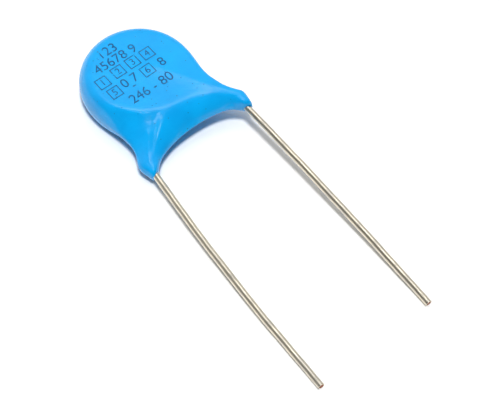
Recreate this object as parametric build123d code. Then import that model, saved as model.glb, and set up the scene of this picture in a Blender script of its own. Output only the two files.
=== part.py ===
from build123d import *
import math
import os

# Ceramic disc capacitor with two radial leads, lying flat as it comes to rest.
# Millimetres, +Z up, leads towards -Y. While it is built, X = 0 is midway between the leads,
# Y = 0 is level with the disc's centre and Z = 0 is the middle of the disc's thickness.
# The finished pieces are moved so that the origin is under the middle of the whole part.

# Ceramic disc and its two fired silver electrodes
ceramic_diameter = 8.6
ceramic_thickness = 1.8
electrode_thickness = 0.03
bare_margin = 0.4

# Lead wires
wire_diameter = 0.6
lead_pitch = 10.0
disc_offset = 0.45
wire_start_x = 1.0
wire_start_y = 0.1
knee_x = 3.4
knee_drop = 0.17
bend_inset = 0.18
bend_drop = 2.0
knee_radius = 1.6
bend_radius = 2.4
knee_softness = 0.3
bend_softness = 0.5
bow_radius = 90.0
front_lead_length = 24.05
front_lead_splay = 0.15
front_lead_bow = 0.14
front_bend_height = 0.62
back_lead_length = 24.55
back_lead_splay = 1.63
back_lead_bow = 0.3
back_bend_height = 0.48

# Solder over the inner end of each wire
solder_length = 3.2
solder_diameter = 0.9
solder_crest = 1.4
solder_edge = 0.03
solder_overhang = 0.5

# Epoxy coating
rim_coat = 0.7
face_coat = 0.8
wire_coat = 0.3
foot_coat = 0.32
leg_coat = 0.14
foot_taper = 0.07
shoulder_inset = 1.0
shoulder_drop = 0.3
crease_softness = 0.22
slope_start = 0.6
slope_length = 3.0
crest_half_width = 0.22
web_drop = 1.55
web_corner = 0.4
crotch_radius = 14.3
flank_fill = 5.0
face_fill = 4.3
web_fill = 0.75
leg_fill = 0.4
twist_length = 3.5
foot_height = 0.53
foot_drop = 3.18
foot_slant = 22.0
foot_trim_margin = 0.6
rim_fullness = 2.0
web_fullness = 1.2
fullness_drop = 0.5
fullness_length = 3.0
ridge_spread = 0.8
ridge_softness = 0.15
ridge_rise = 0.7
ridge_length = 1.5

# How finely the coating's skin is sectioned
fan_drop = 3.2
section_count = 33
face_points = 12
first_angle = 7.0
search_step = 0.05
halvings = 30
tiny = 1e-9

wire_radius = wire_diameter / 2
electrode_top = ceramic_thickness / 2 + electrode_thickness
wire_height = electrode_top + wire_radius
coat_radius = ceramic_diameter / 2 + rim_coat
face_height = ceramic_thickness / 2 + face_coat
ridge_height = wire_height + wire_radius + wire_coat - face_height
foot_half_height = wire_radius + foot_coat
foot_half_width = wire_radius + leg_coat
lead_x = lead_pitch / 2
crotch_y = -coat_radius - web_drop
foot_y = -coat_radius - foot_drop
fan_y = crotch_y - fan_drop
floor_z = -face_height - ridge_height
disc_center = (-disc_offset, 0.0)
wire_start = (wire_start_x - disc_offset, wire_start_y)
knee = (knee_x, -coat_radius - knee_drop)
bend = (lead_x - bend_inset, -coat_radius - bend_drop)
leg_end = (lead_x, fan_y)


# Soft geometry in plan

def soft_min(a, b, width):
    """The smaller of two distances, rounded where they are nearly equal."""
    overlap = max(width - abs(a - b), 0.0) / width
    return min(a, b) - overlap * overlap * width / 4


def soft_max(a, b, width):
    return -soft_min(-a, -b, width)


def soft_step(t):
    t = min(max(t, 0.0), 1.0)
    return t * t * (3 - 2 * t)


def run_distance(x, y, start, end):
    """Distance in plan from a point to a straight run of wire."""
    dx, dy = end[0] - start[0], end[1] - start[1]
    along = ((x - start[0]) * dx + (y - start[1]) * dy) / (dx * dx + dy * dy)
    along = min(max(along, 0.0), 1.0)
    return math.hypot(x - start[0] - along * dx, y - start[1] - along * dy)


def leg_distance(x, y):
    """Distance to either wire outside the disc."""
    x = abs(x)
    upper, lower = run_distance(x, y, knee, bend), run_distance(x, y, bend, leg_end)
    return soft_min(upper, lower, bend_softness)


def wire_distance(x, y, side):
    """Distance to the wire on one face, from its soldered end on: side is 1 for the front."""
    inner = run_distance(x * side, y, wire_start, knee)
    outer = run_distance(x * side, y, knee, bend) if x * side > 0 else math.inf
    return soft_min(inner, outer, knee_softness)


def leg_x(y):
    """How far out the wire's axis is at a height below the disc."""
    if y > bend[1]:
        return bend[0] + (y - bend[1]) * (knee[0] - bend[0]) / (knee[1] - bend[1])
    return min(bend[0] + (bend[1] - y) * (lead_x - bend[0]) / (bend[1] - fan_y), lead_x)


def foot_end(y):
    """Rises from 0 at the bend to 1 where the coating ends."""
    return soft_step((bend[1] - y) / (foot_drop - bend_drop))


def outline(x, y):
    """Signed distance in plan to the coating's outer edge, negative inside."""
    disc = math.hypot(x - disc_center[0], y - disc_center[1]) - coat_radius
    leg = leg_distance(x, y) - foot_half_width + foot_taper * foot_end(y)
    crotch = crotch_radius - math.hypot(x, y - crotch_y + crotch_radius)
    web = soft_max(crotch, abs(x) - leg_x(y), web_corner)
    return soft_min(soft_min(disc, leg, flank_fill), web, web_fill)


def face_edge(x, y, side):
    """Signed distance to the edge of one flat face, which the film over the wire draws out."""
    center_y = disc_center[1] - shoulder_drop
    disc = math.hypot(x - disc_center[0], y - center_y) - coat_radius + shoulder_inset
    wire = min(wire_distance(x, y, side), run_distance(x * side, y, bend, leg_end))
    return soft_min(disc, wire - crest_half_width, face_fill)


def mid_height(x, y):
    """The film between the wires twists, from the back wire up to the front one."""
    twist = soft_step((knee[1] + twist_length / 2 - y) / twist_length)
    return foot_height * twist * min(max(x / lead_x, -1.0), 1.0)


def ridge(x, y, side):
    """How far the film stands proud of the face over its wire."""
    away = math.hypot(wire_distance(x, y, side), ridge_softness) - ridge_softness
    begun = soft_step((wire_start[1] + ridge_rise - y) / ridge_length)
    return ridge_height * math.exp(-away / ridge_spread) * begun


def skin_height(x, y, side):
    """Height of the skin above the mid plane on one face, taken outwards on that face."""
    edge = max(-outline(x, y), 0.0)
    gap = face_edge(x, y, side)
    gap = (gap + math.hypot(gap, crease_softness)) / 2
    middle = mid_height(x, y) * side
    leg = soft_step((knee[1] + slope_start - y) / slope_length)
    half_height = foot_half_height - foot_taper * foot_end(y)
    crest = (face_height + ridge(x, y, side)) * (1 - leg) + (foot_height + half_height) * leg
    below = soft_step((disc_center[1] - fullness_drop - y) / fullness_length)
    fullness = rim_fullness + (web_fullness - rim_fullness) * below
    film = middle + (crest - middle) * swell(edge / (edge + gap + tiny), fullness)
    over_leg = swell(edge / (edge + leg_distance(x, y) + tiny), rim_fullness)
    sleeve = middle + half_height * over_leg
    return soft_max(film, sleeve, leg_fill * over_leg + tiny)


def swell(t, fullness):
    """Rises from 0 at the edge to 1 on the face, upright at first and level at last."""
    return (1 - (1 - min(t, 1.0)) ** fullness) ** (1 / fullness)


# Coating

def edge_crossings(angle):
    """Where a ray from the fan's pivot enters and leaves the coating."""
    dx, dy = math.cos(angle), math.sin(angle)
    count = int((coat_radius - fan_y + coat_radius) / search_step)
    reach = [i * search_step for i in range(1, count)]
    inside = [r for r in reach if outline(dx * r, fan_y + dy * r) < 0]
    first, last = inside[0], inside[-1]
    ends = []
    for near, far in ((first - search_step, first), (last + search_step, last)):
        for _ in range(halvings):
            middle = (near + far) / 2
            if outline(dx * middle, fan_y + dy * middle) < 0:
                far = middle
            else:
                near = middle
        ends.append((near + far) / 2)
    return ends


def coating_section(angle):
    """One closed section of the skin, in an upright plane through the fan's pivot."""
    inner, outer = edge_crossings(angle)
    faces = {1: [], -1: []}
    for i in range(face_points + 1):
        reach = (inner + outer) / 2 + (outer - inner) / 2 * math.cos(math.pi * i / face_points)
        x, y = reach * math.cos(angle), fan_y + reach * math.sin(angle)
        for side, points in faces.items():
            at_edge = i in (0, face_points)
            height = mid_height(x, y) if at_edge else side * skin_height(x, y, side)
            points.append(Vector(x, y, height))
    steps = [i / face_points for i in range(face_points + 1)]
    front = Edge.make_spline(faces[1], parameters=steps)
    back = Edge.make_spline(faces[-1][::-1], parameters=steps)
    return Wire([front, back])


def foot_trim(side):
    """Block that trims one foot square across the wire, its lip longer on the outer side."""
    slant = math.radians(foot_slant)
    normal = Vector(-side * math.sin(slant), -math.cos(slant), 0)
    plane = Plane(origin=(side * lead_x, foot_y, 0), x_dir=(0, 0, 1), z_dir=normal)
    width = 2 * (foot_half_width + foot_trim_margin)
    height = 2 * face_height
    return plane * Box(height, width, width, align=(Align.CENTER, Align.CENTER, Align.MIN))


def coating_skin():
    """Outer form of the coating, lofted through sections fanned from foot to foot."""
    last = math.radians(180 - first_angle)
    first = math.radians(first_angle)
    angles = [first + (last - first) * i / (section_count - 1) for i in range(section_count)]
    return Solid.make_loft([coating_section(angle) for angle in angles])


# Pieces inside

def turned_over(shape, side):
    """Back pieces are the front ones turned half a turn about the Y axis."""
    return shape if side > 0 else Rot(0, 180, 0) * shape


def electrode_disc(side):
    radius = ceramic_diameter / 2 - bare_margin
    height = side * (ceramic_thickness / 2 + electrode_thickness / 2)
    return Pos(*disc_center, height) * Cylinder(radius, electrode_thickness)


def lead_path(side, length, splay, bow, bend_height):
    """Centre line of a lead: across its electrode, out to the foot and down to the floor."""
    tip = Vector(lead_x + splay, bend[1] - length, side * (floor_z + wire_radius))
    start = Vector(*bend, bend_height)
    run = tip - start
    first, second = start + run / 3, start + run * 2 / 3
    outward = Vector(bow, 0, 0)
    points = [
        (*wire_start, wire_height),
        (*knee, wire_height),
        start,
        first + outward,
        second + outward,
        tip,
    ]
    return FilletPolyline(points, radius=[knee_radius, bend_radius, bow_radius, bow_radius])


def lead_wire(side, length, splay, bow, bend_height):
    path = lead_path(side, length, splay, bow, bend_height)
    section = Plane(origin=path @ 0, z_dir=path % 0) * Circle(wire_radius)
    return turned_over(sweep(section, path), side)


def solder_joint(side, wire):
    """Bead of solder along the wire's end, flat where it wets the electrode."""
    along = Vector(knee[0] - wire_start[0], knee[1] - wire_start[1], 0).normalized()
    middle = Vector(*wire_start, wire_height) + along * (solder_length / 2 - solder_overhang)
    plane = Plane(origin=middle, x_dir=along, z_dir=(0, 0, 1))
    end, crest, edge = solder_length / 2, solder_crest / 2, wire_radius + solder_edge
    points = [(crest, solder_diameter / 2), (end, edge), (end, 0)]
    mirrored = [(-x, y) for x, y in reversed(points)]
    bead = plane * revolve(make_face(Polyline(*points, *mirrored, close=True)), Axis.X)
    upright = (Align.CENTER, Align.CENTER, Align.MIN)
    above = Box(solder_length, solder_length, solder_diameter, align=upright)
    above = Pos(middle.X, middle.Y, electrode_top) * above
    return turned_over(bead & above, side) - wire


def build():
    """Every piece by its name."""
    front_lead = lead_wire(
        1, front_lead_length, front_lead_splay, front_lead_bow, front_bend_height
    )
    back_lead = lead_wire(
        -1, back_lead_length, back_lead_splay, back_lead_bow, back_bend_height
    )
    inner = {
        "ceramic_disc": Pos(*disc_center, 0) * Cylinder(ceramic_diameter / 2, ceramic_thickness),
        "front_electrode": electrode_disc(1),
        "back_electrode": electrode_disc(-1),
        "front_lead": front_lead,
        "back_lead": back_lead,
        "front_solder_joint": solder_joint(1, front_lead),
        "back_solder_joint": solder_joint(-1, back_lead),
    }
    coating = coating_skin() - [foot_trim(1), foot_trim(-1), *inner.values()]
    return {"epoxy_coating": coating, **inner}


def write(pieces):
    """Moves the origin under the middle of the part and writes each piece to its own file."""
    os.makedirs("parts", exist_ok=True)
    boxes = [piece.bounding_box() for piece in pieces.values()]
    low = [min(tuple(box.min)[i] for box in boxes) for i in range(3)]
    high = [max(tuple(box.max)[i] for box in boxes) for i in range(3)]
    move = (-(low[0] + high[0]) / 2, -(low[1] + high[1]) / 2, -low[2])
    print("moved by", [round(value, 4) for value in move])
    for name, piece in pieces.items():
        export_step(Pos(*move) * piece, f"parts/{name}.step")


write(build())
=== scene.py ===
# %% [markdown]
# # A ceramic disc capacitor
# A small round capacitor, dipped in blue epoxy, lies on a white table with its two uncut leads.
# The construction comes from the packed frame, in metres. This lesson dresses it: the glossy
# skin of the dip, the tinned wires with the marks of the machine that straightened them, and the
# print on the face.

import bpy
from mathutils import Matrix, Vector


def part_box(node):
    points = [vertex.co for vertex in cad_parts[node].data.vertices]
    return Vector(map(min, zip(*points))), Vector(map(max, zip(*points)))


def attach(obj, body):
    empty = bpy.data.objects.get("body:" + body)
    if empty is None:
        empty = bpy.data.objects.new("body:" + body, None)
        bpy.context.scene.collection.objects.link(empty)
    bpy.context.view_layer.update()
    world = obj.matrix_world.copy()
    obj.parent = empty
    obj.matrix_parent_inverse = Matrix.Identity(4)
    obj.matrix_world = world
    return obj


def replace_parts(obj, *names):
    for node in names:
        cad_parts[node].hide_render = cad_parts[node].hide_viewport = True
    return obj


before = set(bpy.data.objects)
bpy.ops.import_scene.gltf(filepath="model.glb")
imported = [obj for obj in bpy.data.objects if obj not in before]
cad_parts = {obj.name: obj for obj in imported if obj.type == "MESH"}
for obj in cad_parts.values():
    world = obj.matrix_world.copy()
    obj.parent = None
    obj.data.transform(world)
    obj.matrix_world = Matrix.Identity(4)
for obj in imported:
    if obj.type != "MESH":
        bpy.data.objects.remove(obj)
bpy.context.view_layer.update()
print("nodes:", ", ".join(sorted(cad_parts)))

# %% Libraries and units
import math

import bpy
import numpy as np
from mathutils import Matrix, Vector

mm = 0.001
scene = bpy.context.scene
scene.view_settings.view_transform = "Standard"

# %% [markdown]
# ## The part's own axes
# The dip is symmetrical about the wires, not about the bounding box. So every form below is
# worked out in millimetres from a point midway between the leads, level with the ceramic disc
# and in the middle of its thickness. The disc's box in the frame tells where that point is.

# %% Find the middle of the part
disc_offset = 0.45
disc_low, disc_high = (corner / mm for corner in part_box("ceramic_disc"))
coat_low, coat_high = (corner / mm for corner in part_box("epoxy_coating"))
disc_middle = (disc_low + disc_high) / 2
middle = disc_middle + Vector((disc_offset, 0, 0))


def placed(mesh):
    """Scales a mesh from millimetres to metres and moves it to its place in the frame."""
    mesh.transform(Matrix.Translation(middle * mm) @ Matrix.Scale(mm, 4))
    return mesh


print("middle of the part in mm:", [round(value, 3) for value in middle])

# %% [markdown]
# ## Arithmetic that writes nodes
# A rule such as the shape of the dip is easiest to read as plain arithmetic. This class wraps
# a socket, so that an expression on it adds the Math nodes. The functions after it take
# sockets, numbers or arrays alike, so one rule serves Python and the node tree.

# %% Sockets in expressions
class Value:
    """A socket of a node tree that takes part in Python arithmetic."""

    def __init__(self, graph, socket):
        self.graph = graph
        self.socket = socket

    def __add__(self, other):
        return self.graph.math("ADD", self, other)

    def __radd__(self, other):
        return self.graph.math("ADD", other, self)

    def __sub__(self, other):
        return self.graph.math("SUBTRACT", self, other)

    def __rsub__(self, other):
        return self.graph.math("SUBTRACT", other, self)

    def __mul__(self, other):
        return self.graph.math("MULTIPLY", self, other)

    def __rmul__(self, other):
        return self.graph.math("MULTIPLY", other, self)

    def __truediv__(self, other):
        return self.graph.math("DIVIDE", self, other)

    def __rtruediv__(self, other):
        return self.graph.math("DIVIDE", other, self)

    def __pow__(self, other):
        return self.graph.math("POWER", self, other)

    def __neg__(self):
        return self.graph.math("MULTIPLY", self, -1.0)


class Graph:
    """A node tree that is being written."""

    def __init__(self, tree):
        self.tree = tree

    def feed(self, socket, value):
        """Links a socket's value, or sets a plain one."""
        if isinstance(value, Value):
            self.tree.links.new(value.socket, socket)
        else:
            socket.default_value = value

    def node(self, kind, settings=None, inputs=None, output=0):
        """Adds a node: first its settings, then the values or links of its sockets."""
        node = self.tree.nodes.new(kind)
        for name, value in (settings or {}).items():
            setattr(node, name, value)
        for key, value in (inputs or {}).items():
            self.feed(node.inputs[key], value)
        return Value(self, node.outputs[output])

    def math(self, operation, *terms):
        """A Math node on sockets and numbers."""
        return self.node("ShaderNodeMath", {"operation": operation}, dict(enumerate(terms)))

    def mixed(self, share, first, second):
        """A colour between two colours."""
        return self.node(
            "ShaderNodeMix", {"data_type": "RGBA"}, {0: share, 6: first, 7: second}, 2
        )


before = [name[3:-2] for name in vars(Value) if name.startswith("__r")]
print("a number may stand before a socket for:", ", ".join(before))


# %% One rule for numbers and sockets
def axes_of(graph, vector):
    """The x, y and z of a vector."""
    node = graph.tree.nodes.new("ShaderNodeSeparateXYZ")
    graph.feed(node.inputs[0], vector)
    return [Value(graph, output) for output in node.outputs]


def scaled(graph, vector, factor):
    """A vector times a number."""
    return graph.node(
        "ShaderNodeVectorMath", {"operation": "SCALE"}, {0: vector, "Scale": factor}
    )


def calculate(operation, plain, *terms):
    """The same sum as Math nodes for sockets, or in numpy for numbers."""
    for term in terms:
        if isinstance(term, Value):
            return term.graph.math(operation, *terms)
    return plain(*terms)


def least(a, b):
    return calculate("MINIMUM", np.minimum, a, b)


def most(a, b):
    return calculate("MAXIMUM", np.maximum, a, b)


def magnitude(a):
    return calculate("ABSOLUTE", np.abs, a)


def root(a):
    return calculate("SQRT", np.sqrt, a)


def below(a, b):
    return calculate("LESS_THAN", lambda x, y: np.less(x, y) * 1.0, a, b)


def fading(a):
    return calculate("EXPONENT", np.exp, a)


def clamped(a):
    return least(most(a, 0.0), 1.0)


def length(a, b):
    return root(a * a + b * b)


def soft_min(a, b, width):
    """The smaller of two distances, rounded where they are nearly equal."""
    overlap = most(width - magnitude(a - b), 0.0) / width
    return least(a, b) - overlap * overlap * width * 0.25


def soft_max(a, b, width):
    """The larger of two distances, rounded in the same way."""
    return -soft_min(-a, -b, width)


def soft_step(t):
    """Rises from 0 to 1, level at both ends."""
    t = clamped(t)
    return t * t * (3.0 - 2.0 * t)


print("soft minimum of 1.0 and 1.1 over 0.5:", round(float(soft_min(1.0, 1.1, 0.5)), 4))

# %% [markdown]
# ## The rule of the dip
# Wet epoxy hangs between the disc's rim and the two wires. It draws a flat face to each wire,
# stands over the wire in a ridge, breaks at a soft crease below the disc and twists from the
# back wire up to the front one. Two distances in plan carry all of that: how far a point is
# from the outer edge, and how far from the flat face.

# %% Sizes of the dip
coat_radius = coat_high.y - disc_middle.y
lead_x = 5.0
far_away = 99.0
tiny = 1e-5

# Each wire in plan, from its soldered end over the knee at the rim to the bend in the foot.
wire_radius = 0.3
wire_start = (1.0 - disc_offset, 0.1)
knee = (3.4, -coat_radius - 0.17)
bend = (lead_x - 0.18, -coat_radius - 2.0)
knee_softness = 0.3
bend_softness = 0.9

# The web and its crotch. A fill rounds one part into the next, over the width that it names.
crotch_y = -coat_radius - 1.55
crotch_radius = 14.3
web_corner = 0.4
flank_fill = 5.0
web_fill = 0.75
spine_fill = 2.4
twist_length = 3.5

# The flat faces, their crease and the slope below it.
shoulder_inset = 1.0
shoulder_drop = 0.3
crest_half_width = 0.32
face_fill = 4.5
slope_start = 1.0
slope_power = 2.0

# The feet. At the lip the film's half width comes down to buried, which is less than the wire's
# radius, so the film ends inside the wire.
foot_y = -coat_radius - 3.18
foot_slant = math.radians(22.0)
foot_half_width = 0.46
foot_half_height = 0.62
lip_length = 0.4
leg_fill = 0.4
buried = 0.24
fan_y = crotch_y - 3.2
leg_end = (lead_x, fan_y)

# How round the film stands at its edge: full round the rim, slacker below the disc.
rim_fullness = 2.0
web_fullness = 1.1
edge_fullness = 1.4
fullness_drop = 0.5
fullness_length = 3.0

# The ridge over each wire and where it begins.
ridge_softness = 0.15
ridge_rise = 0.7
ridge_length = 1.5

print("coat radius:", round(coat_radius, 3), "mm")


# %% Distances in plan
def run_distance(x, y, start, end):
    """Distance in plan from a point to a straight run of wire."""
    dx, dy = end[0] - start[0], end[1] - start[1]
    reach = dx * dx + dy * dy
    along = clamped((x - start[0]) * (dx / reach) + (y - start[1]) * (dy / reach))
    return length(x - start[0] - along * dx, y - start[1] - along * dy)


def leg_distance(x, y):
    """Distance to either wire outside the disc."""
    x = magnitude(x)
    upper, lower = run_distance(x, y, knee, bend), run_distance(x, y, bend, leg_end)
    return soft_min(upper, lower, bend_softness)


def wire_distance(x, y, side):
    """Distance to the wire on one face, from its soldered end on: side is 1 for the front."""
    outward = x * side
    inner = run_distance(outward, y, wire_start, knee)
    outer = run_distance(outward, y, knee, bend) + below(outward, 0.0) * far_away
    return soft_min(inner, outer, knee_softness)


def leg_x(y):
    """How far out the wire's axis is at a height below the disc."""
    upper = bend[0] + (y - bend[1]) * ((knee[0] - bend[0]) / (knee[1] - bend[1]))
    lower = bend[0] + (bend[1] - y) * ((lead_x - bend[0]) / (bend[1] - fan_y))
    return least(least(upper, lower), lead_x)


def lip(x, y):
    """Falls from 1 to 0 in a quarter round at the foot's lip, where the film meets the wire."""
    above = (magnitude(x) - lead_x) * math.sin(foot_slant) + (y - foot_y) * math.cos(foot_slant)
    t = clamped(above / lip_length)
    return root(most(t * (2.0 - t), 0.0))


def outline(x, y):
    """Signed distance in plan to the coating's outer edge, negative inside."""
    open_lip = lip(x, y)
    disc = length(x + disc_offset, y) - coat_radius
    leg = leg_distance(x, y) - buried - (foot_half_width - buried) * open_lip
    crotch = crotch_radius - length(x, y - crotch_y + crotch_radius)
    web = soft_max(crotch, magnitude(x) - leg_x(y), web_corner)
    body = soft_min(disc, leg, flank_fill)
    depth = most(-least(body, web), 0.0)
    return soft_min(body, web, web_fill * open_lip + spine_fill * depth + tiny)


def face_edge(x, y, side):
    """Signed distance to the edge of one flat face, which the film over the wire draws out."""
    disc = length(x + disc_offset, y + shoulder_drop) - coat_radius + shoulder_inset
    wire = least(wire_distance(x, y, side), run_distance(x * side, y, bend, leg_end))
    return soft_min(disc, wire - crest_half_width, face_fill)


print("the disc's middle is", round(float(-outline(0.0, 0.0)), 2), "mm inside the edge")


# %% Height of the film
def swell(t, fullness, at_edge):
    """Rises from 0 at the edge to 1 on the face, upright at first and level at last."""
    return (1.0 - (1.0 - least(t, 1.0)) ** fullness) ** (1.0 / at_edge)


def edge_height(x, y, sizes):
    """Height of the skin's edge, which the twist carries from one wire over to the other."""
    twist = soft_step((knee[1] + twist_length / 2 - y) / twist_length)
    across = most(least(x / lead_x, 1.0), -1.0)
    return sizes["Foot height"] * twist * across


def film_height(x, y, side, sizes):
    """Height of the skin at a point in plan, on the face that side names."""
    open_lip = lip(x, y)
    edge = most(-outline(x, y), 0.0)
    gap = face_edge(x, y, side)
    gap = (gap + length(gap, sizes["Crease softness"])) * 0.5
    web = edge_height(x, y, sizes) * side
    slope_y = knee[1] + slope_start
    leg = clamped((slope_y - y) / (slope_y - foot_y)) ** slope_power
    half_height = (foot_half_height - buried) * open_lip + buried
    away = length(wire_distance(x, y, side), ridge_softness) - ridge_softness
    begun = soft_step((wire_start[1] + ridge_rise - y) / ridge_length)
    ridge = sizes["Ridge height"] * fading(-(away / sizes["Ridge spread"])) * begun
    face = sizes["Face height"] + ridge
    crest = face * (1.0 - leg) + (sizes["Foot height"] + half_height) * leg
    lowered = soft_step((-y - fullness_drop) / fullness_length)
    fullness = rim_fullness + (web_fullness - rim_fullness) * lowered
    at_edge = rim_fullness + (edge_fullness - rim_fullness) * lowered
    film = web + (crest - web) * swell(edge / (edge + gap + tiny), fullness, at_edge)
    over_leg = edge / (edge + leg_distance(x, y) + tiny)
    over_leg = swell(over_leg, rim_fullness, rim_fullness)
    sleeve = web + half_height * over_leg
    return soft_max(film, sleeve, over_leg * leg_fill + tiny) * side


print("film half way in from the rim:", round(swell(0.5, rim_fullness, rim_fullness), 3))

# %% [markdown]
# ## A net laid out flat
# The skin needs an even net whose rows run across the coat. A fan of lines from a point below
# the crotch suits the disc, but it would cut the feet slantwise, so near each foot the lines
# turn until the last one is the foot's own lip. Every row starts and ends on the outline,
# with its points closer together there. The net is flat and closed, with the front layer at
# z = 1 and the back layer at z = -1, and the node tree lifts it afterwards.

# %% Lay out the net
fan_angle = math.radians(35.0)
fan_rows = 110
foot_rows = 44
row_points = 76
foot_crowding = 1.8
foot_reach = 2.4
fan_reach = 16.5
samples = 1200
halvings = 24


def net_lines():
    """Lines in plan as (x, y, dx, dy, shortest and longest reach), from foot to foot."""
    foot, fan = [], []
    fan_height = fan_y + lead_x * math.tan(fan_angle)
    turn_in, turn_out = math.tan(fan_angle), -math.tan(foot_slant)
    for i in range(foot_rows):
        share = (i / foot_rows) ** foot_crowding
        height = foot_y + (fan_height - foot_y) * share
        slope = turn_out + (turn_in - turn_out) * share
        along = math.hypot(1.0, slope)
        foot.append((lead_x, height, 1 / along, slope / along, -foot_reach, foot_reach))
    for i in range(fan_rows + 1):
        angle = fan_angle + (math.pi - 2 * fan_angle) * i / fan_rows
        fan.append((0.0, fan_y, math.cos(angle), math.sin(angle), tiny, fan_reach))
    mirrored = [(-x, y, -dx, dy, near, far) for x, y, dx, dy, near, far in reversed(foot)]
    return foot + fan + mirrored


def crossings(line):
    """Where a line enters the coating and where it leaves it for good."""
    x, y, dx, dy, near, far = line
    reach = np.linspace(near, far, samples)
    inside = outline(x + dx * reach, y + dy * reach) < 0
    last = np.flatnonzero(inside)[-1]
    gaps = np.flatnonzero(~inside[:last])
    first = gaps[-1] if len(gaps) else 0
    ends = []
    for out, within in ((reach[first], reach[first + 1]), (reach[last + 1], reach[last])):
        for _ in range(halvings):
            half = (out + within) / 2
            if outline(x + dx * half, y + dy * half) < 0:
                within = half
            else:
                out = half
        ends.append((out + within) / 2)
    return ends


def lay_net():
    """The flat, closed net of the whole coat."""
    turns = np.arange(2 * row_points) * math.pi / row_points
    layer = np.sign(np.round(np.sin(turns), 6))
    points = []
    for line in net_lines():
        inner, outer = crossings(line)
        reach = (inner + outer) / 2 + (outer - inner) / 2 * np.cos(turns)
        points.append(np.stack([line[0] + line[2] * reach, line[1] + line[3] * reach, layer], 1))
    rows, across = len(points), len(turns)
    faces = []
    for i in range(rows - 1):
        for j in range(across):
            k = (j + 1) % across
            row, after = i * across, (i + 1) * across
            faces.append((row + j, after + j, after + k, row + k))
    faces.append(tuple(range(across)))
    faces.append(tuple((rows - 1) * across + j for j in range(across))[::-1])
    mesh = bpy.data.meshes.new("coat_net")
    mesh.from_pydata(np.concatenate(points).tolist(), [], faces)
    mesh.validate()
    return mesh


net = lay_net()
print("net:", len(net.vertices), "points,", len(net.polygons), "faces")

# %% [markdown] ## Helpers for Geometry Nodes Each tree gets its sizes as named inputs, so
# that a learner can open the file and turn them. A modifier's inputs go by the socket's
# identifier.

# %% Build and run a tree
def new_tree(name, sizes):
    """An empty Geometry Nodes tree with named sizes, and its incoming geometry and sizes."""
    tree = bpy.data.node_groups.new(name, "GeometryNodeTree")
    tree.interface.new_socket("Geometry", in_out="OUTPUT", socket_type="NodeSocketGeometry")
    tree.interface.new_socket("Geometry", in_out="INPUT", socket_type="NodeSocketGeometry")
    for label in sizes:
        tree.interface.new_socket(label, in_out="INPUT", socket_type="NodeSocketFloat")
    graph = Graph(tree)
    entry = tree.nodes.new("NodeGroupInput")
    incoming = Value(graph, entry.outputs["Geometry"])
    return graph, incoming, {label: Value(graph, entry.outputs[label]) for label in sizes}


def close_tree(graph, shape, material):
    """Ends a tree: real geometry with its material."""
    shape = graph.node("GeometryNodeRealizeInstances", inputs={"Geometry": shape})
    shape = graph.node(
        "GeometryNodeSetMaterial", inputs={"Geometry": shape, "Material": material}
    )
    exit_node = graph.tree.nodes.new("NodeGroupOutput")
    graph.feed(exit_node.inputs["Geometry"], shape)


def grown(name, base, graph, sizes):
    """Runs a tree on a mesh and returns the plain mesh that comes out."""
    maker = bpy.data.objects.new(name + "_maker", base)
    scene.collection.objects.link(maker)
    modifier = maker.modifiers.new("grow", "NODES")
    modifier.node_group = graph.tree
    for item in graph.tree.interface.items_tree:
        if item.in_out == "INPUT" and item.name in sizes:
            modifier[item.identifier] = float(sizes[item.name])
    evaluated = maker.evaluated_get(bpy.context.evaluated_depsgraph_get())
    mesh = bpy.data.meshes.new_from_object(evaluated)
    bpy.data.objects.remove(maker)
    mesh.name = name
    finish = mesh.materials[-1]
    mesh.materials.clear()
    mesh.materials.append(finish)
    mesh.polygons.foreach_set("material_index", [0] * len(mesh.polygons))
    return mesh


def piece(name, mesh):
    """An object of the part that moves with its one body."""
    made = bpy.data.objects.new(name, mesh)
    scene.collection.objects.link(made)
    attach(made, "root")
    triangles = sum(len(face.vertices) - 2 for face in mesh.polygons)
    print(name, "has", triangles, "triangles")
    return made


# %% [markdown]
# ## Finishes
# The epoxy is a clear, saturated sky blue with a wet gloss. A cured dip coat is never quite
# flat: it keeps a faint orange peel, and dark grains of filler that each sit in a small pit.
# All of it is worked out from Object coordinates, at the size it has on the real part.

# %% Material helpers
def new_material(name, **constants):
    """A material with one Principled shader, and its graph and shader."""
    material = bpy.data.materials.new(name)
    material.use_nodes = True
    shader = material.node_tree.nodes["Principled BSDF"]
    for socket, value in constants.items():
        shader.inputs[socket.replace("_", " ")].default_value = value
    return material, Graph(material.node_tree), shader


def from_srgb(red, green, blue):
    """A colour as a screen shows it, 0 to 255, in the linear values that a shader takes."""
    linear = []
    for channel in (red, green, blue):
        share = channel / 255
        linear.append(share / 12.92 if share <= 0.04045 else ((share + 0.055) / 1.055) ** 2.4)
    return (*linear, 1.0)


def object_place(graph):
    """Object coordinates, which are in metres."""
    return graph.node("ShaderNodeTexCoord", output=3)


def noise(graph, place, spacing, detail=2.0, stretch=(1, 1, 1)):
    """Soft noise from 0 to 1 whose lumps are about one spacing apart, in millimetres."""
    squeezed = graph.node(
        "ShaderNodeMapping",
        inputs={"Vector": place, "Scale": tuple(part / (spacing * mm) for part in stretch)},
    )
    return graph.node(
        "ShaderNodeTexNoise", inputs={"Vector": squeezed, "Scale": 1.0, "Detail": detail}
    )


def ramp(value, low, high):
    """0 below low, 1 above high and straight between."""
    return clamped((value - low) / (high - low))


def bumped(graph, shader, height, depth):
    """Raises the surface by height, whose full swing is depth in millimetres."""
    normal = graph.node(
        "ShaderNodeBump", inputs={"Strength": 1.0, "Distance": depth * mm, "Height": height}
    )
    graph.feed(shader.inputs["Normal"], normal)


def feed_shader(graph, shader, **links):
    """Links values to a shader's sockets, with _ for a space in a socket's name."""
    for socket, value in links.items():
        graph.feed(shader.inputs[socket.replace("_", " ")], value)


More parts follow.
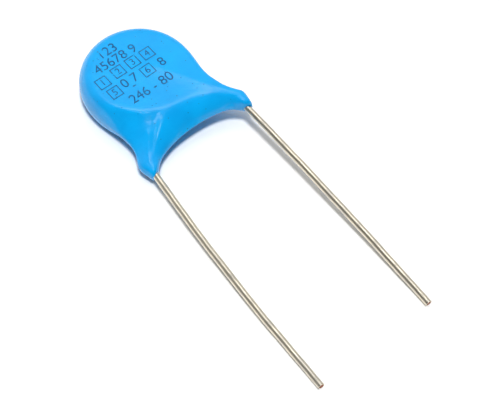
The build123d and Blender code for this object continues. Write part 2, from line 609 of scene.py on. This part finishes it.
# %% Epoxy
epoxy_blue = from_srgb(5, 168, 239)
epoxy_deep = from_srgb(3, 156, 228)
speck_blue = from_srgb(10, 60, 110)
speck_spacing = 0.36
speck_radius = 0.028
speck_share = 0.3
speck_strength = 0.65
cloud_spacing = 2.4
peel_spacing = 0.42
grain_spacing = 0.11
peel_depth = 0.012


def specks(graph, place):
    """Dark grains: a dot in some cells of a random grid, as many as speck_share says."""
    cells = {"Vector": scaled(graph, place, 1 / (speck_spacing * mm)), "Scale": 1.0}
    away = graph.node("ShaderNodeTexVoronoi", inputs=cells)
    colour = graph.node("ShaderNodeTexVoronoi", inputs=cells, output=1)
    lot = graph.node("ShaderNodeSeparateColor", inputs={0: colour})
    chosen = below(lot, speck_share)
    dot = speck_radius / speck_spacing
    inside = 1.0 - ramp(away, dot, 2.2 * dot)
    return chosen * inside


def make_epoxy():
    material, graph, shader = new_material("blue_epoxy_gloss", IOR=1.46)
    place = object_place(graph)
    cloud = ramp(noise(graph, place, cloud_spacing), 0.3, 0.7)
    peel = noise(graph, place, peel_spacing)
    grain = noise(graph, place, grain_spacing, 1.0)
    dark = specks(graph, place)
    colour = graph.mixed(cloud, epoxy_blue, epoxy_deep)
    colour = graph.mixed(dark * speck_strength, colour, speck_blue)
    rough = 0.17 + cloud * 0.04 + grain * 0.05
    bumped(graph, shader, peel * 0.8 + grain * 0.2 - dark * 0.8, peel_depth)
    feed_shader(graph, shader, Base_Color=colour, Roughness=rough)
    return material


epoxy = make_epoxy()
print("epoxy colour, linear:", [round(channel, 3) for channel in epoxy_blue])

# %% [markdown]
# ## The skin of the dip
# The rule above becomes a node tree, in which every size is an input or a number. Set Position
# lifts each point of the net to the height that the rule gives. The CAD solid stays in the
# frame for collision, and this finer skin stands for it.

# %% Lift the net into the dip
face_height = 1.7
coat_sizes = {
    "Face height": face_height,
    "Ridge height": coat_high.z - middle.z - face_height,
    "Ridge spread": 0.8,
    "Crease softness": 0.12,
    "Foot height": 0.53,
}


def dip_tree():
    graph, net_in, sizes = new_tree("dip", coat_sizes)
    place = graph.node("GeometryNodeInputPosition")
    x, y, side = axes_of(graph, place)
    lifted = film_height(x, y, side, sizes)
    height = lifted + edge_height(x, y, sizes) * (1.0 - magnitude(side))
    position = graph.node("ShaderNodeCombineXYZ", inputs={0: x, 1: y, 2: height})
    skin = graph.node(
        "GeometryNodeSetPosition", inputs={"Geometry": net_in, "Position": position}
    )
    skin = graph.node("GeometryNodeSetShadeSmooth", inputs={"Geometry": skin})
    close_tree(graph, skin, epoxy)
    return graph


dip = dip_tree()
print("dip tree:", len(dip.tree.nodes), "nodes")
coat = piece("epoxy_skin", placed(grown("epoxy_skin", net, dip, coat_sizes)))
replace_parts(coat, "epoxy_coating")

# %% [markdown]
# ## The leads
# Each lead is tinned, copper-clad wire. A machine pulled it straight off its reel and bent it
# over the disc, so it keeps faint waves, dents and lengthwise streaks. A few corners and their
# fillets are all the tree needs: it rounds the corners, divides the line evenly, lets it waver
# and sweeps a round section along it. The cut ends show copper inside the tin.

# %% The routes of the two leads
floor_z = -middle.z
wire_height = 1.23
knee_fillet = 1.6
bend_fillet = 2.4
bow_fillet = 90.0


def lead_route(side, drop, splay, bow, bend_height):
    """Corners of one lead and their fillets: over the disc, out of the foot, down to the floor.

    The drop is from the bend to the tip in plan, the splay is how far the tip stands outside
    the pitch, and the bow is how far the free wire swells outward between the two.
    """
    start = Vector((*bend, bend_height))
    tip = Vector((lead_x + splay, bend[1] - drop, side * (floor_z + wire_radius)))
    outward = Vector((bow, 0, 0))
    corners = [
        Vector((*wire_start, wire_height)),
        Vector((*knee, wire_height)),
        start,
        start + (tip - start) / 3 + outward,
        start + (tip - start) * 2 / 3 + outward,
        tip,
    ]
    turned = [(side * point.x, point.y, side * point.z) for point in corners]
    return turned, [0.0, knee_fillet, bend_fillet, bow_fillet, bow_fillet, 0.0]


routes = {
    "front_lead": lead_route(1, drop=24.05, splay=0.15, bow=0.14, bend_height=0.62),
    "back_lead": lead_route(-1, drop=24.55, splay=1.63, bow=0.3, bend_height=0.48),
}
tips = [middle + Vector(corners[-1]) for corners, _ in routes.values()]
print("lead tips in mm:", [[round(value, 2) for value in tip] for tip in tips])

# %% Tinned wire
tin_warm = from_srgb(230, 221, 200)
tin_cool = from_srgb(208, 203, 192)
core_copper = from_srgb(150, 84, 60)
core_radius = 0.24
core_blend = 0.04
streak_spacing = 0.09
tarnish_spacing = 1.1
dimple_spacing = 0.5
tin_depth = 0.012


def make_tin():
    material, graph, shader = new_material("tinned_wire_satin", Metallic=1.0)
    place = object_place(graph)
    streak = noise(graph, place, streak_spacing, stretch=(1, 0.06, 1))
    tarnish = ramp(noise(graph, place, tarnish_spacing), 0.42, 0.7)
    dimples = noise(graph, place, dimple_spacing, stretch=(1, 0.5, 1))
    x, _, z = axes_of(graph, place)
    cut = graph.node("ShaderNodeAttribute", {"attribute_name": "cut"}, output=2)
    away = far_away
    for tip in tips:
        away = least(length(x - tip.x * mm, z - tip.z * mm) / mm, away)
    core = cut * (1.0 - ramp(away, core_radius - core_blend, core_radius))
    colour = graph.mixed(tarnish * 0.7, tin_warm, tin_cool)
    colour = graph.mixed(core, colour, core_copper)
    rough = 0.26 + streak * 0.16 + tarnish * 0.1 + cut * 0.15
    bumped(graph, shader, streak * 0.35 + dimples * 0.65, tin_depth)
    feed_shader(graph, shader, Base_Color=colour, Roughness=rough)
    return material


tin = make_tin()
print("tin colour, linear:", [round(channel, 3) for channel in tin_warm])

# %% Sweep the wires
wire_sizes = {"Radius": wire_radius, "Spacing": 0.15, "Waver": 0.05, "Dent": 0.012}
waver_spacing, waver_seed = 2.6, 4.0
dent_spacing, dent_seed = 0.7, 9.0
fillet_points = 16
points_around = 28
cut_facing = -0.8
sharp_angle = math.radians(50)


def wandering(graph, spacing, seed, swing):
    """A slow random offset for each point, up to half of swing either way on each axis."""
    place = graph.node("GeometryNodeInputPosition")
    moved = graph.node("ShaderNodeVectorMath", inputs={0: place, 1: (seed, seed, seed)})
    colour = graph.node(
        "ShaderNodeTexNoise", inputs={"Vector": moved, "Scale": 1 / spacing}, output=1
    )
    half = (0.5, 0.5, 0.5)
    centred = graph.node(
        "ShaderNodeVectorMath", {"operation": "SUBTRACT"}, {0: colour, 1: half}
    )
    return scaled(graph, centred, swing)


def wire_tree():
    graph, corners, sizes = new_tree("wire", wire_sizes)
    fillet = graph.node(
        "GeometryNodeInputNamedAttribute", {"data_type": "FLOAT"}, {"Name": "fillet"}
    )
    line = graph.node("GeometryNodeMeshToCurve", inputs={0: corners})
    line = graph.node(
        "GeometryNodeFilletCurve",
        {"mode": "POLY"},
        {"Curve": line, "Count": fillet_points, "Radius": fillet},
    )
    line = graph.node(
        "GeometryNodeResampleCurve",
        {"mode": "LENGTH"},
        {"Curve": line, "Length": sizes["Spacing"]},
    )
    waver = wandering(graph, waver_spacing, waver_seed, sizes["Waver"])
    line = graph.node("GeometryNodeSetPosition", inputs={"Geometry": line, "Offset": waver})
    section = graph.node(
        "GeometryNodeCurvePrimitiveCircle",
        inputs={"Resolution": points_around, "Radius": sizes["Radius"]},
    )
    wire = graph.node(
        "GeometryNodeCurveToMesh",
        inputs={"Curve": line, "Profile Curve": section, "Fill Caps": True},
    )
    dent = wandering(graph, dent_spacing, dent_seed, sizes["Dent"])
    wire = graph.node("GeometryNodeSetPosition", inputs={"Geometry": wire, "Offset": dent})
    _, facing, _ = axes_of(graph, graph.node("GeometryNodeInputNormal"))
    wire = graph.node(
        "GeometryNodeStoreNamedAttribute",
        {"data_type": "FLOAT", "domain": "FACE"},
        {"Geometry": wire, "Name": "cut", "Value": below(facing, cut_facing)},
    )
    wire = graph.node("GeometryNodeSetShadeSmooth", inputs={"Geometry": wire})
    close_tree(graph, wire, tin)
    return graph


def route_mesh(name, corners, fillets):
    """The corners as one line of edges, each with its fillet as an attribute."""
    mesh = bpy.data.meshes.new(name + "_route")
    mesh.from_pydata(corners, [(i, i + 1) for i in range(len(corners) - 1)], [])
    fillet = mesh.attributes.new("fillet", "FLOAT", "POINT")
    fillet.data.foreach_set("value", fillets)
    return mesh


wire_maker = wire_tree()
for name, (corners, fillets) in routes.items():
    route = route_mesh(name, corners, fillets)
    wire = placed(grown(name + "_wire", route, wire_maker, wire_sizes))
    wire.set_sharp_from_angle(angle=sharp_angle)
    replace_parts(piece(name + "_wire", wire), name)

# %% [markdown]
# ## The print
# A pad printer stamps the face with thin dark ink: rows of small figures and outlined marks
# that read across the two leads. Here they are plain digits and plain squares. The figures
# become flat meshes first, and then each point drops straight onto the skin, so the print
# follows the dome and the ridge. Noise in the ink's alpha wears it thin in places.

# %% Ink
ink_dark = from_srgb(2, 56, 104)
ink_thin = from_srgb(8, 104, 160)
ink_cover = 0.92
wear_spacing = 0.9
wear_grain = 0.07


def make_ink():
    material, graph, shader = new_material("print_ink_navy", IOR=1.45)
    place = object_place(graph)
    cloud = noise(graph, place, wear_spacing)
    grain = noise(graph, place, wear_grain, 1.0)
    colour = graph.mixed(ramp(cloud, 0.35, 0.65), ink_dark, ink_thin)
    kept = ramp(cloud * 0.6 + grain * 0.4, 0.36, 0.46)
    rough = 0.35 + grain * 0.2
    feed_shader(graph, shader, Base_Color=colour, Roughness=rough, Alpha=kept * ink_cover)
    return material


ink = make_ink()
print("ink colour, linear:", [round(channel, 3) for channel in ink_dark])

# %% Figures and marks
print_lift = 0.006
drop_height = 4.0
mark_letter = 0.72
letter_cuts = 1
square_cuts = 3
stamp_sizes = {"Letter size": 1.3, "Mark size": 1.12, "Mark line": 0.085}
row_texts = [("123", -1.35, 3.11), ("45678 9", -1.29, 2.02), ("246 - 80", -0.72, -2.17)]
mark_texts = [
    ("1", -3.6, 0.74), ("2", -1.88, 0.88), ("3", -0.33, 0.92), ("4", 1.18, 0.88),
    ("6", 0.12, -0.55), ("5", -3.4, -0.66),
]
loose_texts = [("0 7", -1.7, -0.45), ("-", -1.7, -1.0), ("8", 1.6, -0.6)]


def filled(graph, curves):
    """Closed curves as flat faces."""
    return graph.node("GeometryNodeFillCurve", {"mode": "TRIANGLES"}, {"Curve": curves})


def shifted(graph, shape, x, y):
    """A flat shape moved to its place on the face."""
    return graph.node(
        "GeometryNodeTransform", inputs={"Geometry": shape, "Translation": (x, y, 0.0)}
    )


def figure(graph, text, x, y, height):
    """Digits as flat faces, centred on a point."""
    curves = graph.node(
        "GeometryNodeStringToCurves",
        {"align_x": "CENTER", "align_y": "MIDDLE"},
        {"String": text, "Size": height},
    )
    return shifted(graph, filled(graph, curves), x, y)


def joined(graph, shapes):
    """Several shapes as one."""
    node = graph.tree.nodes.new("GeometryNodeJoinGeometry")
    for shape in shapes:
        graph.tree.links.new(shape.socket, node.inputs[0])
    return Value(graph, node.outputs[0])


def divided(graph, shapes, level):
    """Joins flat shapes into one mesh, fine enough to follow a curved face."""
    flat = graph.node("GeometryNodeRealizeInstances", inputs={"Geometry": joined(graph, shapes)})
    return graph.node("GeometryNodeSubdivideMesh", inputs={"Mesh": flat, "Level": level})


def square_mark(graph, sizes, x, y):
    """A square outline: the fill leaves a hole where two outlines overlap."""
    outer = sizes["Mark size"]
    inner = outer - sizes["Mark line"] * 2.0
    both = [
        graph.node("GeometryNodeCurvePrimitiveQuadrilateral", inputs={"Width": w, "Height": w})
        for w in (outer, inner)
    ]
    return shifted(graph, filled(graph, joined(graph, both)), x, y)


print("figures:", len(row_texts + loose_texts), "and marks:", len(mark_texts))


# %% Stamp the face
def stamp_tree():
    graph, _, sizes = new_tree("stamp", stamp_sizes)
    letter = sizes["Letter size"]
    figures = [figure(graph, text, x, y, letter) for text, x, y in row_texts + loose_texts]
    figures += [figure(graph, text, x, y, letter * mark_letter) for text, x, y in mark_texts]
    squares = [square_mark(graph, sizes, x, y) for _, x, y in mark_texts]
    shapes = [divided(graph, figures, letter_cuts), divided(graph, squares, square_cuts)]
    flat = joined(graph, shapes)
    place = scaled(graph, graph.node("GeometryNodeInputPosition"), mm)
    above = tuple((middle + Vector((0, 0, drop_height))) * mm)
    source = graph.node("ShaderNodeVectorMath", inputs={0: place, 1: above})
    target = graph.node("GeometryNodeObjectInfo", inputs={"Object": coat}, output="Geometry")
    ray = graph.tree.nodes.new("GeometryNodeRaycast")
    graph.feed(ray.inputs["Target Geometry"], target)
    graph.feed(ray.inputs["Source Position"], source)
    ray.inputs["Ray Direction"].default_value = (0, 0, -1)
    ray.inputs["Ray Length"].default_value = drop_height * mm
    hit, normal = (Value(graph, ray.outputs[name]) for name in ("Hit Position", "Hit Normal"))
    lift = scaled(graph, normal, print_lift * mm)
    landed = graph.node("ShaderNodeVectorMath", inputs={0: hit, 1: lift})
    stamped = graph.node("GeometryNodeSetPosition", inputs={"Geometry": flat, "Position": landed})
    close_tree(graph, stamped, ink)
    return graph


blank = bpy.data.meshes.new("blank")
stamp = piece("face_print", grown("face_print", blank, stamp_tree(), stamp_sizes))

# %% [markdown]
# ## What the coat holds
# Inside lie the barium titanate disc, a fired silver film on each face and the solder that
# holds each wire. They keep their CAD forms, which are right. The fired ceramic is a matte tan
# with fine grains, the silver is a satin film with a dull mottle, and the solder is a frosted
# bead.

# %% Finish the inner pieces
def make_inner(name, first, second, spacing, metallic, roughness, depth):
    """A finish that mottles between two colours, with grains of one spacing in millimetres."""
    material, graph, shader = new_material(name, Metallic=metallic)
    place = object_place(graph)
    cloud = noise(graph, place, spacing * 6)
    grain = noise(graph, place, spacing)
    colour = graph.mixed(ramp(cloud, 0.3, 0.7), from_srgb(*first), from_srgb(*second))
    bumped(graph, shader, grain * 0.7 + cloud * 0.3, depth)
    rough = roughness + (grain - 0.5) * 0.25
    feed_shader(graph, shader, Base_Color=colour, Roughness=rough)
    return material


fired_ceramic = make_inner(
    "fired_ceramic", (206, 190, 166), (186, 168, 142), 0.06, 0.0, 0.7, 0.01
)
silver_film = make_inner(
    "silver_film", (214, 212, 205), (190, 186, 178), 0.05, 1.0, 0.42, 0.006
)
frosted_solder = make_inner(
    "frosted_solder", (205, 205, 206), (176, 177, 180), 0.12, 1.0, 0.38, 0.02
)
inner_finishes = {
    "ceramic_disc": fired_ceramic,
    "front_electrode": silver_film,
    "back_electrode": silver_film,
    "front_solder_joint": frosted_solder,
    "back_solder_joint": frosted_solder,
}
for name, finish in inner_finishes.items():
    for material_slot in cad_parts[name].material_slots:
        material_slot.material = finish
    print(name, "is finished in", finish.name)

# %% [markdown]
# ## The camera
# The photograph looks down on the part from the side of the back lead with a long lens. The
# camera aims at a point between the leads, at the height of the disc's middle.

# %% Set up the camera
view_azimuth = math.radians(-41.533)
view_elevation = math.radians(56.803)
view_roll = math.radians(2.808)
view_distance = 227.8
view_lens = 199.7
aim = Vector((-0.584, -15.087, 0.0))


def make_camera():
    camera = bpy.data.objects.new("camera", bpy.data.cameras.new("camera"))
    scene.collection.objects.link(camera)
    right = Vector((math.cos(view_azimuth), math.sin(view_azimuth), 0))
    back = Vector((
        math.sin(view_azimuth) * math.cos(view_elevation),
        -math.cos(view_azimuth) * math.cos(view_elevation),
        math.sin(view_elevation),
    ))
    up = back.cross(right)
    turned_right = right * math.cos(view_roll) + up * math.sin(view_roll)
    turned_up = up * math.cos(view_roll) - right * math.sin(view_roll)
    place = (middle + aim + back * view_distance) * mm
    turn = Matrix((turned_right, turned_up, back)).transposed().to_4x4()
    camera.matrix_world = Matrix.Translation(place) @ turn
    camera.data.lens = view_lens
    camera.data.sensor_width = 36.0
    camera.data.clip_start = 0.01
    camera.data.clip_end = 20.0
    scene.camera = camera
    return camera


camera = make_camera()
print("camera at", [round(value, 4) for value in camera.matrix_world.translation], "m")

# %% [markdown]
# ## Light and floor
# A soft key lamp stands high on the camera's side and gives the short shadows. It lights and
# shades but shows in no reflection. What the gloss reflects is the studio itself: a bright
# patch overhead that draws the thin lines along the crease and the ridges, a pale wall behind,
# and a dark room on the camera's side that keeps the slopes saturated and draws the dark band
# along a shiny wire. A small glint in the key's direction leaves its point of light. The floor
# is plain and matte, and so bright that only the shadows show on it.

# %% Light the studio
key_azimuth = math.radians(-40.0)
key_elevation = math.radians(76.5)
key_strength = 2.46
key_angle = math.radians(10.0)
wall_azimuth = math.radians(155.0)
room_dark = 0.07
room_pale = 0.62
patch_tilt = math.radians(14.0)
patch_strength = 4.6
patch_spread = 0.02
glint_strength = 28.0
glint_radius = math.radians(3.0)
wall_edge = 0.35
wall_blend = 1.1
floor_half = 3.0
floor_white = 0.92


def direction(azimuth, elevation):
    """A unit vector towards an azimuth, 0 from the front and -90 from the left, and elevation."""
    return Vector((
        math.sin(azimuth) * math.cos(elevation),
        -math.cos(azimuth) * math.cos(elevation),
        math.sin(elevation),
    ))


def make_lamp():
    lamp = bpy.data.objects.new("key_lamp", bpy.data.lights.new("key_lamp", "SUN"))
    scene.collection.objects.link(lamp)
    lamp.data.energy = key_strength
    lamp.data.angle = key_angle
    lamp.visible_glossy = False
    lamp.rotation_mode = "QUATERNION"
    lamp.rotation_quaternion = direction(key_azimuth, key_elevation).to_track_quat("Z", "Y")
    return lamp


def make_sky():
    world = bpy.data.worlds.new("studio")
    world.use_nodes = True
    scene.world = world
    graph = Graph(world.node_tree)
    outward = graph.node("ShaderNodeTexCoord", output=0)

    def towards(axis):
        """The cosine of the angle between a direction and the axis."""
        inputs = {0: outward, 1: tuple(axis)}
        return graph.node("ShaderNodeVectorMath", {"operation": "DOT_PRODUCT"}, inputs, 1)

    wall = towards(direction(wall_azimuth, 0.0))
    room = room_dark + (room_pale - room_dark) * soft_step((wall + wall_edge) / wall_blend)
    overhead = towards(direction(view_azimuth + math.pi, math.pi / 2 - patch_tilt))
    patch = patch_strength * fading((overhead - 1.0) / patch_spread)
    edge = (towards(direction(key_azimuth, key_elevation)) - 1.0) / (1.0 - math.cos(glint_radius))
    glint = glint_strength * clamped(1.0 + edge)
    background = world.node_tree.nodes["Background"]
    graph.feed(background.inputs["Strength"], room + patch + glint)
    background.inputs["Color"].default_value = (1, 1, 1, 1)


def make_floor():
    half = floor_half
    mesh = bpy.data.meshes.new("floor")
    corners = [(-half, -half, 0), (half, -half, 0), (half, half, 0), (-half, half, 0)]
    mesh.from_pydata(corners, [], [(0, 1, 2, 3)])
    material, _, shader = new_material(
        "white_floor", Base_Color=(floor_white, floor_white, floor_white, 1), Roughness=0.9
    )
    shader.inputs["Specular IOR Level"].default_value = 0.0
    mesh.materials.append(material)
    floor = bpy.data.objects.new("floor", mesh)
    scene.collection.objects.link(floor)
    return floor


lamp = make_lamp()
make_sky()
floor = make_floor()
print("lamp strength", round(lamp.data.energy, 2), "over the floor", list(floor.dimensions))
